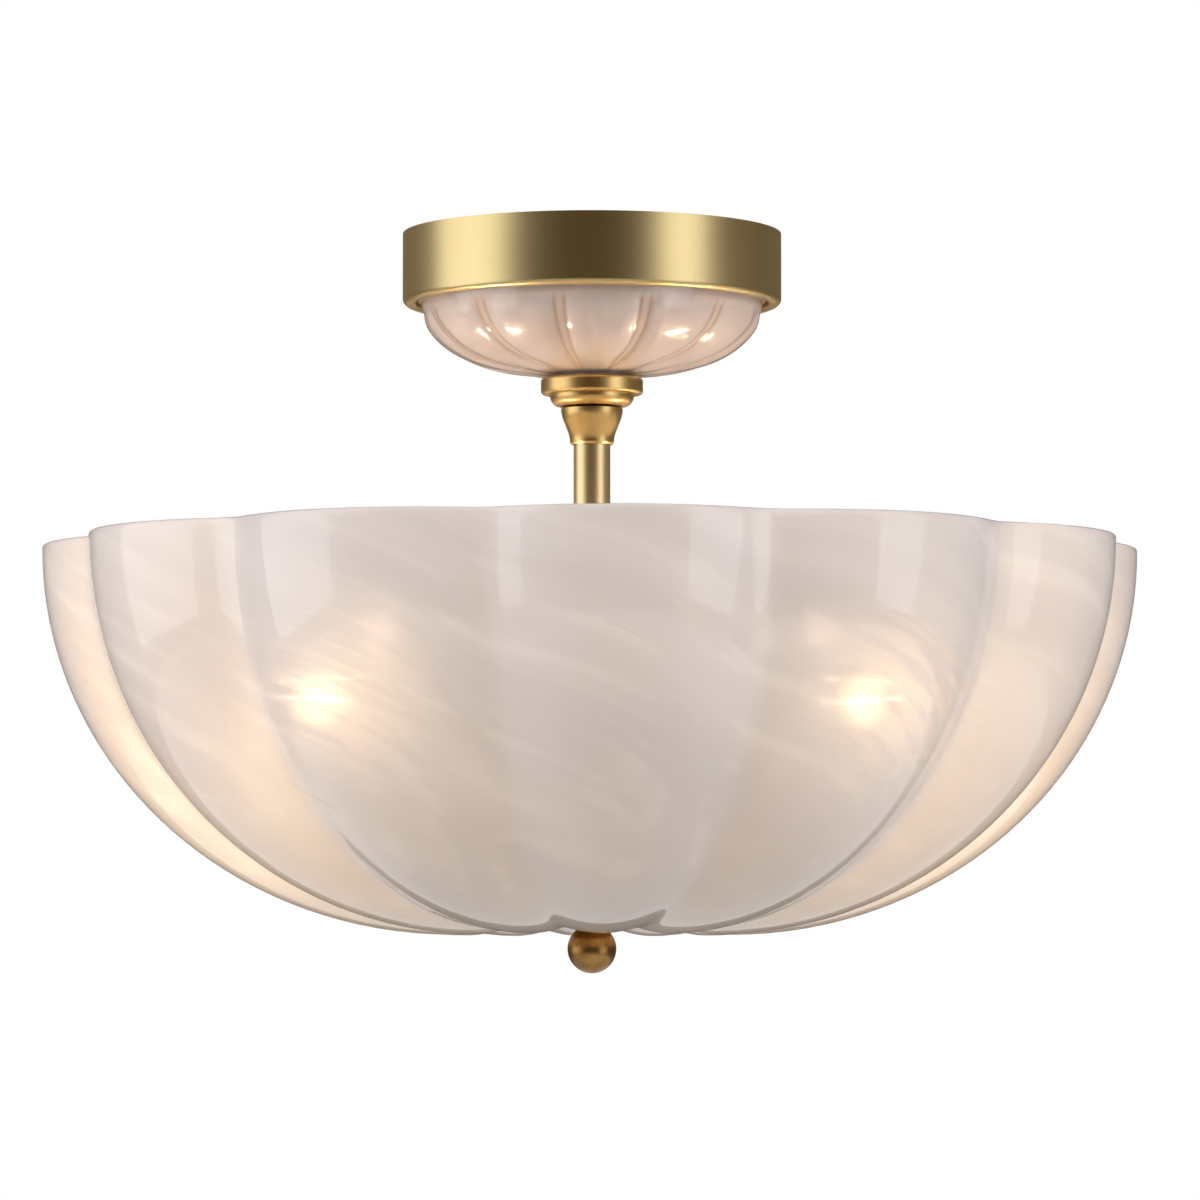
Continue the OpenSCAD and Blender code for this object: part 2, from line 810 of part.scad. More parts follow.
// Moulded lampholder: domed base, stepped skirt and a cavity for the screw shell
module lampholder() {
  r = holder_d / 2;
  back_r = nipple_r + 4;
  cavity_r = shell_way_r - cavity_step;
  color(ceramic)
    rotate_extrude()
      polygon(concat(
        [[nipple_way_r, holder_x]],
        [
          for (i = [0:6])
            let (a = 90 * i / 6)
            [back_r + (r - back_r) * sin(a), holder_x + dome_l * (1 - cos(a))]
        ],
        [
          [r, holder_x + bead_at], [r - bead_t, holder_x + bead_at + bead_t],
          [r - bead_t, holder_end - 3 - bead_t], [r, holder_end - 3],
          [r, holder_end - bevel], [r - bevel, holder_end],
          [shell_way_r, holder_end], [shell_way_r, shell_start],
          [cavity_r, shell_start], [cavity_r, holder_x + holder_base],
          [nipple_way_r, holder_x + holder_base]
        ]
      ));
}

// Threaded metal liner that grips the bulb's cap
module screw_shell() {
  r = shell_d / 2;
  color(brass)
    translate([0, 0, shell_start])
      difference() {
        cylinder(r = r, h = shell_l);
        translate([0, 0, -1])
          cylinder(r = r - shell_wall, h = shell_l + 2);
      }
}

// Sprung tongue on a post, which touches the tip of the bulb's cap
module contact() {
  base = holder_x + holder_base;
  tongue = cap_start - base - contact_t - washer_gap;
  color(brass)
    translate([-contact_w / 2, 0, base])
      union() {
        translate([0, contact_w, 0])
          cube([contact_w, contact_post, tongue]);
        translate([0, -contact_w / 2, tongue])
          cube([contact_w, contact_w * 1.5 + contact_post, contact_t]);
      }
}

module hanger_rod() {
  color(steel)
    translate([0, 0, rod_low])
      rotate_extrude()
        polygon([
          [0, 0], [rod_r - bevel, 0], [rod_r, bevel], [rod_r, rod_l - bevel],
          [rod_r - bevel, rod_l], [0, rod_l]
        ]);
}

module rod_nuts() {
  color(steel) {
    nut(rod_nut_af, rod_way_r, cover_low, rod_nut_h);
    nut(rod_nut_af, rod_way_r, inner_washer_top + rod_nut_h, rod_nut_h);
  }
}

module bowl_inner_washer() {
  color(brass)
    flat_ring(rod_way_r + washer_gap, inner_washer_r, inner_washer_top, inner_washer_t);
}

module bowl_inner_seal() {
  color(rubber)
    flat_ring(rod_way_r + washer_gap, inner_washer_r, inner_seal_top, bowl_seal_t);
}

// Large bowl: lobes that deepen from the dimpled middle to the rim
module bowl_glass() {
  outer = [for (s = bowl_rings) bowl_ring(s, 0)];
  rim = [bowl_rim_ring(bowl_rim_r), bowl_rim_ring(bowl_wall - bowl_rim_r)];
  inner = [
    for (i = [len(bowl_rings) - 1:-1:0])
      bowl_ring(bowl_rings[i], bowl_wall)
  ];
  color(milk_glass)
    ring_skin(concat(outer, rim, inner));
}

module bowl_lower_seal() {
  color(rubber)
    flat_ring(rod_way_r + washer_gap, finial_washer_r, seat_z, bowl_seal_t);
}

module finial_washer() {
  color(dark_brass)
    translate([0, 0, ball_top])
      difference() {
        rotate_extrude()
          polygon([
            [0, 0], [finial_washer_r - 0.6, 0], [finial_washer_r, 0.6],
            [finial_washer_r, finial_washer_t], [0, finial_washer_t]
          ]);
        translate([0, 0, -1])
          cylinder(r = rod_way_r + washer_gap, h = finial_washer_t + 2);
      }
}

module finial_ball() {
  color(dark_brass)
    difference() {
      union() {
        translate([0, 0, ball_z])
          sphere(r = ball_r);
        translate([0, 0, ball_z])
          cylinder(r = ball_neck_r, h = ball_top - ball_z);
      }
      translate([0, 0, rod_low - 1])
        cylinder(r = rod_way_r, h = ball_thread + 2);
      translate([0, 0, ball_top])
        cylinder(r = ball_r, h = ball_r);
    }
}

// Outline of the bulb's glass in (radius, place): a curved neck, then the round end
function bulb_outline(inset) =
  let (
    p0 = [cap_d / 2 - 1 - inset, glass_start],
    p1 = [cap_d / 2 - inset, glass_start + neck_l],
    p2 = [bulb_r - inset, bulb_centre - shoulder_l],
    p3 = [bulb_r - inset, bulb_centre]
  )
  concat(
    [
      for (i = [0:12])
        let (t = i / 12, w = 1 - t)
        p0 * w * w * w + p1 * 3 * w * w * t + p2 * 3 * w * t * t + p3 * t * t * t
    ],
    [
      for (i = [1:10])
        let (a = 90 * i / 10)
        [(bulb_r - inset) * cos(a), bulb_centre + (bulb_r - inset) * sin(a)]
    ]
  );

module bulb_glass() {
  outer = bulb_outline(0);
  inner = bulb_outline(bulb_wall);
  color([0.95, 0.93, 0.88, 0.4])
    rotate_extrude()
      polygon(concat(outer, [for (i = [len(inner) - 1:-1:0]) inner[i]]));
}

// Threaded cap with its insulator and centre contact
module bulb_cap() {
  r = cap_d / 2;
  color(steel)
    rotate_extrude()
      polygon([
        [0, cap_start], [tip_r - 1, cap_start], [tip_r, cap_start + tip_t],
        [tip_r + 1.6, cap_start + 2], [insulator_r, cap_start + insulator_l],
        [r - bevel, cap_start + insulator_l + 1], [r, cap_start + insulator_l + 2.5],
        [r, glass_start - 3], [r - bevel, glass_start - 2], [r - bevel, glass_start],
        [0, glass_start]
      ]);
}

// Glass stem, its crown of support wires and the glowing strips
module bulb_filament() {
  strip_start = bulb_centre - strip_l / 2;
  strip_end = bulb_centre + strip_l / 2;
  post_end = strip_start - 3 * support_past;
  crown_end = strip_end + support_past;
  color("#f4d9a0") {
    rotate_extrude()
      polygon([
        [0, glass_start], [foot_r, glass_start], [foot_r * 0.6, glass_start + foot_l * 0.4],
        [post_r * 1.2, glass_start + foot_l], [post_r, post_end],
        [support_r, post_end + support_past], [support_r, crown_end],
        [0, crown_end + support_r]
      ]);
    for (i = [0:strip_count - 1])
      rotate([0, 0, (i + 0.5) * 360 / strip_count]) {
        translate([crown_r, 0, strip_start])
          rotate([0, -strip_tilt, 0])
            cylinder(r = strip_r, h = strip_l);
        translate([0, -crown_t / 2, strip_start])
          cube([crown_r, crown_t, crown_t]);
        translate([0, -crown_t / 2, strip_end - crown_t])
          cube([crown_r - strip_l * sin(strip_tilt), crown_t, crown_t]);
      }
  }
}

mounting_strap();
ground_screw();
threaded_nipple();
nipple_nuts();
terminal_block();
terminal_screws();
canopy_pan();
canopy_glass_seal();
canopy_glass();
collar_seal();
collar_ring();
stem_coupling();
stem_tube();
supply_leads();
cluster_body();
cluster_cover();
cluster_screws();
on_arm(-1) arm();  // left_arm
on_arm(1) arm();  // right_arm
on_arm(-1) lampholder();  // left_lampholder
on_arm(1) lampholder();  // right_lampholder
on_arm(-1) screw_shell();  // left_screw_shell
on_arm(1) screw_shell();  // right_screw_shell
on_arm(-1) contact();  // left_contact
on_arm(1) contact();  // right_contact
hanger_rod();
rod_nuts();
bowl_inner_washer();
bowl_inner_seal();
bowl_glass();
bowl_lower_seal();
finial_washer();
finial_ball();
on_arm(-1) bulb_glass();  // left_bulb_glass
on_arm(-1) bulb_cap();  // left_bulb_cap
on_arm(-1) bulb_filament();  // left_bulb_filament
on_arm(1) bulb_glass();  // right_bulb_glass
on_arm(1) bulb_cap();  // right_bulb_cap
on_arm(1) bulb_filament();  // right_bulb_filament
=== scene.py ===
"""Looks of a lit semi-flush ceiling light, in metres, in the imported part's own frame."""

import math

import bpy
from mathutils import Matrix, Vector


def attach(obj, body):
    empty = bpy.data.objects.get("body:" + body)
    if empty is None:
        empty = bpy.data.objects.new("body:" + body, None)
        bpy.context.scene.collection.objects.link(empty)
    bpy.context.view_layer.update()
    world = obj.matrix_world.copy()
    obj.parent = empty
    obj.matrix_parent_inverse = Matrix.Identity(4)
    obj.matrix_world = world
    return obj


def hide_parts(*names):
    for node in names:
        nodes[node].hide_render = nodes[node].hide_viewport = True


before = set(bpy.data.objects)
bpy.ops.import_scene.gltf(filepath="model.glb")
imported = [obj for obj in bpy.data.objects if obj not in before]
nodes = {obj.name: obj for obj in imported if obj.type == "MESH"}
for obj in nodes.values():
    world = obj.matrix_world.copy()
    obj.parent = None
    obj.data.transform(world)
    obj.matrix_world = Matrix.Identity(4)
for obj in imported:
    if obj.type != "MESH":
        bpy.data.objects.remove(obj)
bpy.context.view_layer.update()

MM = 0.001
LAMP_Z = -188.0 * MM  # height of the arms, holders and bulbs
LAMP_OUT = 112.0 * MM  # from the axis to the middle of a bulb
CAP_TIP = 36.0 * MM  # from the axis to the tip of a bulb's cap
RIM_Z = -129.0 * MM  # height of the bowl's rim
PANELS = 12  # of the small dish


class Field:
    """One socket of a node tree. Arithmetic on it adds Math nodes."""

    def __init__(self, socket):
        self.socket = socket
        self.tree = socket.id_data

    def math(self, operation, *values):
        made = add(self.tree, "ShaderNodeMath", {"operation": operation}, dict(enumerate(values)))
        return made("Value")

    def __add__(self, other):
        return self.math("ADD", self, other)

    def __radd__(self, other):
        return self.math("ADD", other, self)

    def __sub__(self, other):
        return self.math("SUBTRACT", self, other)

    def __rsub__(self, other):
        return self.math("SUBTRACT", other, self)

    def __mul__(self, other):
        return self.math("MULTIPLY", self, other)

    def __rmul__(self, other):
        return self.math("MULTIPLY", other, self)

    def __truediv__(self, other):
        return self.math("DIVIDE", self, other)

    def __rtruediv__(self, other):
        return self.math("DIVIDE", other, self)

    def __pow__(self, other):
        return self.math("POWER", self, other)

    def __neg__(self):
        return self.math("MULTIPLY", self, -1.0)

    def __abs__(self):
        return self.math("ABSOLUTE", self)


def add(tree, kind, settings=None, inputs=None):
    """Adds a node: its settings first, then values or links of its sockets by name or number.
    Returns a function that gives an output by name."""
    node = tree.nodes.new(kind)
    for name, value in (settings or {}).items():
        setattr(node, name, value)
    for key, value in (inputs or {}).items():
        if isinstance(value, Field):
            tree.links.new(value.socket, node.inputs[key])
        else:
            node.inputs[key].default_value = value
    return lambda name: Field(node.outputs[name])


def sine(x):
    return x.math("SINE", x)


def cosine(x):
    return x.math("COSINE", x)


def sqrt(x):
    return x.math("SQRT", x)


def fraction(x):
    return x.math("FRACT", x)


def smaller(a, b):
    return a.math("MINIMUM", a, b)


def larger(a, b):
    return a.math("MAXIMUM", a, b)


def clamp(x):
    return smaller(larger(x, 0.0), 1.0)


def above(x, limit):
    return x.math("GREATER_THAN", x, limit)


def smooth_step(x, low, high):
    """0 below low, 1 above high and a soft curve between them."""
    t = clamp((x - low) / (high - low))
    return t * t * (3.0 - 2.0 * t)


def mix_colour(factor, a, b):
    """Colour between a and b. The node's sockets 6, 7 and 2 are those for colours."""
    made = add(factor.tree, "ShaderNodeMix", {"data_type": "RGBA"}, {0: factor, 6: a, 7: b})
    return made(2)


def vector_node(tree, operation, *values, out="Vector"):
    made = add(tree, "ShaderNodeVectorMath", {"operation": operation}, dict(enumerate(values)))
    return made(out)


def scaled(vector, factor):
    made = add(vector.tree, "ShaderNodeVectorMath", {"operation": "SCALE"},
               {0: vector, "Scale": factor})
    return made("Vector")


def parts_of(vector):
    made = add(vector.tree, "ShaderNodeSeparateXYZ", None, {0: vector})
    return made("X"), made("Y"), made("Z")


def vector_of(tree, x, y, z):
    return add(tree, "ShaderNodeCombineXYZ", None, {0: x, 1: y, 2: z})("Vector")


def noise(vector, scale, detail=4.0, roughness=0.5, distortion=0.0):
    """Soft noise from 0 to 1 over a vector."""
    return add(vector.tree, "ShaderNodeTexNoise", None, {
        "Vector": vector, "Scale": scale, "Detail": detail, "Roughness": roughness,
        "Distortion": distortion,
    })("Fac")


# Geometry trees. Each grows one piece on a grid: x is the share of the way round, y the share
# of the way along a closed outline, which runs up the outside, over the rim and back inside.

RIM_SHARE = 0.05  # of a glass's outline, round its rim
HOLE_SHARE = 0.012  # of a glass's outline, through the edge of its hole


def shape_tree(name, sizes, counts, route=False):
    """New geometry tree with named inputs. Returns it and its inputs as fields by name."""
    tree = bpy.data.node_groups.new(name, "GeometryNodeTree")
    face = tree.interface
    face.new_socket("Geometry", in_out="OUTPUT", socket_type="NodeSocketGeometry")
    if route:
        face.new_socket("Route", in_out="INPUT", socket_type="NodeSocketGeometry")
    for key in sizes:
        face.new_socket(key, in_out="INPUT", socket_type="NodeSocketFloat")
    for key in counts:
        face.new_socket(key, in_out="INPUT", socket_type="NodeSocketInt")
    face.new_socket("Material", in_out="INPUT", socket_type="NodeSocketMaterial")
    start = tree.nodes.new("NodeGroupInput")
    given = {item.name: Field(start.outputs[item.name])
             for item in face.items_tree if item.in_out == "INPUT"}
    return tree, given


def grid_shares(tree, across, along):
    """Grid of unit size, with the shares of the way across and along each point."""
    sheet = add(tree, "GeometryNodeMeshGrid", None, {
        "Size X": 1.0, "Size Y": 1.0, "Vertices X": across + 1.0, "Vertices Y": along + 1.0,
    })("Mesh")
    x, y, _ = parts_of(add(tree, "GeometryNodeInputPosition")("Position"))
    return sheet, x + 0.5, y + 0.5


def close_tree(tree, sheet, given, x, y, z):
    """Moves the grid's points to x, y, z, joins its seams and sends it out of the tree."""
    moved = add(tree, "GeometryNodeSetPosition", None, {
        "Geometry": sheet, "Position": vector_of(tree, x, y, z),
    })("Geometry")
    joined = add(tree, "GeometryNodeMergeByDistance", None, {
        "Geometry": moved, "Distance": 0.01 * MM,
    })("Geometry")
    send_out(tree, joined, given)


def send_out(tree, shape, given):
    """Shades a shape smooth, gives it its material and sends it out of the tree."""
    smooth = add(tree, "GeometryNodeSetShadeSmooth", None, {0: shape, "Shade Smooth": True})
    real = add(tree, "GeometryNodeRealizeInstances", None, {"Geometry": smooth("Geometry")})
    made = add(tree, "GeometryNodeSetMaterial", None, {
        "Geometry": real("Geometry"), "Material": given["Material"],
    })("Geometry")
    tree.links.new(made.socket, tree.nodes.new("NodeGroupOutput").inputs["Geometry"])


def grow(name, tree, material, values, route=()):
    """Runs a geometry tree with these inputs and keeps its mesh as a plain object."""
    start = bpy.data.meshes.new(name)
    start.from_pydata(route, [(k, k + 1) for k in range(len(route) - 1)], [])
    piece = bpy.data.objects.new(name, start)
    bpy.context.scene.collection.objects.link(piece)
    modifier = piece.modifiers.new("shape", "NODES")
    modifier.node_group = tree
    for item in tree.interface.items_tree:
        if item.in_out == "INPUT" and item.name != "Route":
            modifier[item.identifier] = material if item.name == "Material" else values[item.name]
    ready = piece.evaluated_get(bpy.context.evaluated_depsgraph_get())
    mesh = bpy.data.meshes.new_from_object(ready)
    piece.modifiers.remove(modifier)
    piece.data = mesh
    mesh.name = name
    return piece


def outline_course(along):
    """Where a point of a glass's closed outline lies: how far up the wall from the hole (0 to 1),
    how far from the outer to the inner face (0 to 1), and its angle round the rim."""
    course = 2.0 * clamp(along / (1.0 - HOLE_SHARE)) - 1.0
    rim_angle = math.pi * clamp((course / RIM_SHARE + 1.0) / 2.0)
    up = 1.0 - clamp((abs(course) - RIM_SHARE) / (1.0 - RIM_SHARE))
    inward = (1.0 - cosine(rim_angle)) / 2.0 * clamp((1.0 - along) / HOLE_SHARE)
    return up, inward, rim_angle


def place_in_lobe(share, lobes):
    """0 on the crest of a lobe and 1 in the crease beside it."""
    return abs(2.0 * fraction(share * lobes + 0.5) - 1.0)


def turn(share, radius):
    """x and y of a point at this radius and share of the way round."""
    angle = share * (2.0 * math.pi)
    return radius * cosine(angle), radius * sine(angle)


def bowl_tree():
    """Lobed bowl with a dimpled middle, as its solid: the same outline and creases, more finely."""
    sizes = ["Radius", "Height", "Wall", "Crease", "Low crease", "Low ring", "Seat", "Hole",
             "Dimple", "Rim", "Seat height", "Valley"]
    tree, given = shape_tree("lobed_bowl", sizes, ["Lobes", "Around", "Along"])
    radius, height, wall, crease, low_crease, low, seat, hole, dimple, rim, seat_z, valley = (
        given[key] for key in sizes)
    sheet, share, along = grid_shares(tree, given["Around"], given["Along"])
    up, inward, rim_angle = outline_course(along)

    # The outer face is flat round its hole, sinks over the dimple and rises as a quarter ellipse
    stretch = 3.0 * sqrt(up)
    seat_share = clamp(stretch)
    dimple_share = clamp(stretch - 1.0)
    tilt = clamp(stretch - 2.0) * (math.pi / 2.0)
    sunk = (1.0 - cosine(dimple_share * math.pi)) / 2.0
    on_wall = above(stretch, 2.0)
    run = (low - seat) * (1.0 - on_wall) + (radius - low) * cosine(tilt) * on_wall
    rise = ((height - rim) * sine(tilt) * on_wall
            - dimple * (math.pi / 2.0) * sine(dimple_share * math.pi) * (1.0 - on_wall))
    length = sqrt(run * run + rise * rise)

    # Creases and the wall's thickness go in square to that face
    from_crease = 1.0 - place_in_lobe(share, given["Lobes"])
    dip = ((1.0 - sqrt(from_crease * from_crease + valley * valley)) / (1.0 - valley)) ** 2.0
    depth = low_crease * sunk + (crease - low_crease) * sine(tilt) ** 1.5
    into = wall * inward + depth * dip
    r = (hole + (seat - hole) * seat_share + (low - seat) * dimple_share
         + (radius - low) * sine(tilt) - rise / length * into)
    z = (seat_z - dimple * sunk + (height - rim) * (1.0 - cosine(tilt))
         + rim * sine(rim_angle) + run / length * into)
    close_tree(tree, sheet, given, *turn(share, r), z)
    return tree


def dish_tree():
    """Small dish of pillowed panels with narrow grooves between them, under a plain rim band."""
    sizes = ["Radius", "Height", "Wall", "Band", "Seat", "Hole", "Rim height", "Groove", "Bulge",
             "Panel edge", "Panel top", "Corner", "Band dip"]
    tree, given = shape_tree("panelled_dish", sizes, ["Panels", "Around", "Along"])
    (radius, height, wall, band, seat, hole, rim_z, groove, bulge, panel_edge, panel_top,
     corner, band_dip) = (given[key] for key in sizes)
    sheet, share, along = grid_shares(tree, given["Around"], given["Along"])
    up, inward, rim_angle = outline_course(along)
    out_power, up_power, lip = 0.77, 1.03, 0.8 * MM

    # The outer face is flat round its hole, rises as a rounded wall and ends in an upright band
    stretch = 3.0 * up ** 0.62
    seat_share = clamp(stretch)
    tilt = clamp(stretch - 1.0) * (math.pi / 2.0)
    band_share = clamp(stretch - 2.0)
    bend = larger(sine(tilt), 0.0001)
    flat = larger(cosine(tilt), 0.0001)
    on_wall = above(stretch, 1.0)
    r_out = hole + (seat - hole) * seat_share + (radius - seat) * bend ** out_power * on_wall
    z_out = rim_z - band - (height - band) * flat ** up_power + (band - lip) * band_share
    run = (radius - seat) * out_power * bend ** (out_power - 1.0) * flat * on_wall + (1.0 - on_wall)
    rise = (height - band) * up_power * flat ** (up_power - 1.0) * bend * on_wall
    length = sqrt(run * run + rise * rise)

    # Panels with rounded corners bulge from it, and grooves and a shallow band lie round them
    across = place_in_lobe(share, given["Panels"])
    from_side = (panel_edge - across) * r_out * math.pi / given["Panels"]
    from_top = (rim_z - panel_top) - z_out
    corner_x = larger(corner - from_side, 0.0)
    corner_y = larger(corner - from_top, 0.0)
    inside = corner - sqrt(corner_x * corner_x + corner_y * corner_y)
    in_band = smooth_step(z_out, rim_z - panel_top - 3.0 * MM, rim_z - panel_top + 1.0 * MM)
    floor_dip = groove + (band_dip - groove) * in_band
    edge = 1.0 - smooth_step(inside, -0.4 * MM, 1.5 * MM)
    pillow = (1.0 - clamp(inside / (14.0 * MM))) ** 2.0
    fade = smooth_step(stretch, 1.0, 1.2) * (1.0 - smooth_step(stretch, 1.97, 2.2))
    dip = (floor_dip * edge + bulge * pillow * (1.0 - edge * 0.4)) * fade
    outer_only = 1.0 - clamp(inward * 4.0)
    into = wall * inward + dip * outer_only
    r = r_out - rise / length * into
    z = z_out + run / length * into + lip * sine(rim_angle)
    close_tree(tree, sheet, given, *turn(share, r), z)
    return tree


def along_outline(share, outline):
    """Radius and height at a share of the way along an outline of (radius, height) points."""
    steps = [math.dist(a, b) for a, b in zip(outline, outline[1:])]
    total = sum(steps)
    done = 0.0
    r, z = outline[0]
    for step, a, b in zip(steps, outline, outline[1:]):
        part = clamp((share - done / total) * (total / step))
        r = r + part * (b[0] - a[0])
        z = z + part * (b[1] - a[1])
        done += step
    return r, z


def threaded_tree(name, outline):
    """Turned piece with a rounded screw thread on the outside of a stretch of its height."""
    tree, given = shape_tree(name, ["Pitch", "Depth", "Start", "End", "Run-out", "Least radius"],
                             ["Around", "Along"])
    sheet, share, along = grid_shares(tree, given["Around"], given["Along"])
    r, z = along_outline(along, outline)
    begin = smooth_step(z, given["Start"], given["Start"] + given["Run-out"])
    stop = smooth_step(z, given["End"] - given["Run-out"], given["End"])
    wave = (1.0 - cosine((z / given["Pitch"] - share) * (2.0 * math.pi))) / 2.0
    cut = given["Depth"] * wave * begin * (1.0 - stop) * above(r, given["Least radius"])
    close_tree(tree, sheet, given, *turn(share, r - cut), z)
    return tree


def lead_tree():
    """Round lead along a route, with its corners turned into bends."""
    tree, given = shape_tree("round_lead", ["Radius", "Bend"], ["Bend points", "Sides"], route=True)
    line = add(tree, "GeometryNodeMeshToCurve", None, {"Mesh": given["Route"]})("Curve")
    bent = add(tree, "GeometryNodeFilletCurve", {"mode": "POLY"}, {
        "Curve": line, "Count": given["Bend points"], "Radius": given["Bend"],
    })("Curve")
    ring = add(tree, "GeometryNodeCurvePrimitiveCircle", None, {
        "Resolution": given["Sides"], "Radius": given["Radius"],
    })("Curve")
    tube = add(tree, "GeometryNodeCurveToMesh", None, {
        "Curve": bent, "Profile Curve": ring, "Fill Caps": True,
    })("Mesh")
    send_out(tree, tube, given)
    return tree


# Materials. Each is built from the place on its piece, in metres, so its grain has a real size.

def new_material(name):
    """New material and its empty node tree."""
    made = bpy.data.materials.new(name)
    made.use_nodes = True
    made.node_tree.nodes.clear()
    return made, made.node_tree


def send_out_shader(tree, shader):
    tree.links.new(shader.socket, tree.nodes.new("ShaderNodeOutputMaterial").inputs["Surface"])


def make_material(name, build):
    """Material of one shader. Its inputs are built from the place and facing of the surface."""
    made, tree = new_material(name)
    place = add(tree, "ShaderNodeTexCoord")
    inputs = build(tree, place("Object"), place("Normal"))
    send_out_shader(tree, add(tree, "ShaderNodeBsdfPrincipled", None, inputs)("BSDF"))
    return made


def bump(tree, height, distance, strength=1.0):
    """Small relief. Height goes from 0 to 1, and distance is its depth in metres."""
    return add(tree, "ShaderNodeBump", None, {
        "Height": height, "Distance": distance, "Strength": strength,
    })("Normal")


def colour(r, g, b):
    return (r, g, b, 1.0)


def turned_brass(light, dark, rough, line_depth):
    """Satin brass with fine lines from the lathe round the light's axis, and a faint patina."""
    def build(tree, place, _):
        x, y, z = parts_of(place)
        r = sqrt(x * x + y * y)
        lines = noise(vector_of(tree, x * 4.0, y * 4.0, (z + r * 0.6) * 2600.0), 1.0, 2.0, 0.5)
        cloud = noise(place, 22.0, 4.0, 0.55)
        spots = smooth_step(noise(place, 260.0, 3.0, 0.6), 0.62, 0.75)
        base = mix_colour(smooth_step(cloud, 0.3, 0.75), light, dark)
        base = mix_colour(spots * 0.08, base, colour(*(c * 0.6 for c in dark[:3])))
        return {
            "Base Color": base, "Metallic": 1.0,
            "Roughness": rough + (lines - 0.5) * 0.03 + spots * 0.02,
            "Anisotropic": 0.55,
            "Normal": bump(tree, lines, line_depth, 0.6),
        }
    return build


def aged_brass(tree, place, _):
    cloud = noise(place, 120.0, 5.0, 0.6)
    pits = smooth_step(noise(place, 900.0, 2.0, 0.5), 0.6, 0.8)
    base = mix_colour(smooth_step(cloud, 0.35, 0.7),
                      colour(0.42, 0.24, 0.075), colour(0.25, 0.135, 0.04))
    return {
        "Base Color": mix_colour(pits * 0.5, base, colour(0.1, 0.055, 0.02)), "Metallic": 1.0,
        "Roughness": 0.27 + cloud * 0.12 + pits * 0.1,
        "Normal": bump(tree, cloud - pits * 0.4, 0.08 * MM, 0.5),
    }


def zinc_steel(tree, place, _):
    spangle = noise(place, 420.0, 2.0, 0.5, 1.5)
    wear = smooth_step(noise(place, 60.0, 4.0, 0.6), 0.45, 0.7)
    base = mix_colour(spangle, colour(0.46, 0.47, 0.48), colour(0.62, 0.63, 0.63))
    return {
        "Base Color": mix_colour(wear * 0.4, base, colour(0.5, 0.46, 0.36)), "Metallic": 1.0,
        "Roughness": 0.32 + spangle * 0.16 + wear * 0.1,
        "Normal": bump(tree, spangle, 0.04 * MM, 0.5),
    }


def nickel_cap(tree, place, _):
    """Nickel-plated cap with a dark glass insulator round its soldered tip."""
    x, y, z = parts_of(place)
    from_tip = abs(x) - CAP_TIP
    up = z - LAMP_Z
    wear = noise(place, 160.0, 4.0, 0.6)
    insulator = above(5.2 * MM - from_tip, 0.0) * above(sqrt(y * y + up * up), 4.5 * MM)
    metal = mix_colour(wear, colour(0.66, 0.65, 0.62), colour(0.78, 0.77, 0.75))
    return {
        "Base Color": mix_colour(insulator, metal, colour(0.02, 0.018, 0.03)),
        "Metallic": 1.0 - insulator, "Roughness": 0.16 + wear * 0.16,
        "Normal": bump(tree, wear, 0.03 * MM, 0.4),
    }


def green_steel(tree, place, _):
    shade = noise(place, 500.0, 3.0)
    return {
        "Base Color": mix_colour(shade, colour(0.03, 0.16, 0.035), colour(0.07, 0.27, 0.06)),
        "Metallic": 0.75, "Roughness": 0.3 + shade * 0.2,
        "Normal": bump(tree, shade, 0.03 * MM, 0.5),
    }


def bright_brass(tree, place, _):
    shade = noise(place, 300.0, 4.0)
    return {
        "Base Color": mix_colour(shade, colour(0.78, 0.56, 0.24), colour(0.62, 0.42, 0.16)),
        "Metallic": 1.0, "Roughness": 0.2 + shade * 0.18,
        "Normal": bump(tree, shade, 0.03 * MM, 0.4),
    }


def moulding(light, dark, rough, grain):
    """Moulded plastic or pressed ceramic with a fine grain."""
    def build(tree, place, _):
        fine = noise(place, grain, 4.0, 0.6)
        cloud = noise(place, 70.0, 3.0)
        return {
            "Base Color": mix_colour(smooth_step(cloud, 0.3, 0.7) * 0.6 + fine * 0.3, light, dark),
            "Roughness": rough + (fine - 0.5) * 0.2,
            "Normal": bump(tree, fine, 0.05 * MM, 0.6),
        }
    return build


def silicone(tree, place, _):
    dust = noise(place, 700.0, 3.0)
    return {
        "Base Color": mix_colour(dust, colour(0.56, 0.53, 0.49), colour(0.68, 0.66, 0.62)),
        "Roughness": 0.45 + dust * 0.2, "Subsurface Weight": 0.25,
        "Subsurface Radius": (2.0 * MM, 1.8 * MM, 1.5 * MM),
        "Normal": bump(tree, dust, 0.03 * MM, 0.5),
    }


def painted_lamp_glow(tree, place, facing):
    """Painted glow: how strongly the two lamps would light a wall from inside, on the side turned
    away from them, as a share of its emission.
    """
    total = 0.0
    for out in (-LAMP_OUT, LAMP_OUT):
        reach = vector_node(tree, "SUBTRACT", place, (out, 0.0, LAMP_Z))
        far = larger(vector_node(tree, "LENGTH", reach, out="Value"), 80.0 * MM)
        straight = vector_node(tree, "DOT_PRODUCT", reach, facing, out="Value") / far
        total = total + larger(straight * 0.7 + 0.4, 0.0) / ((far / (100.0 * MM)) ** 2.4)
    return total


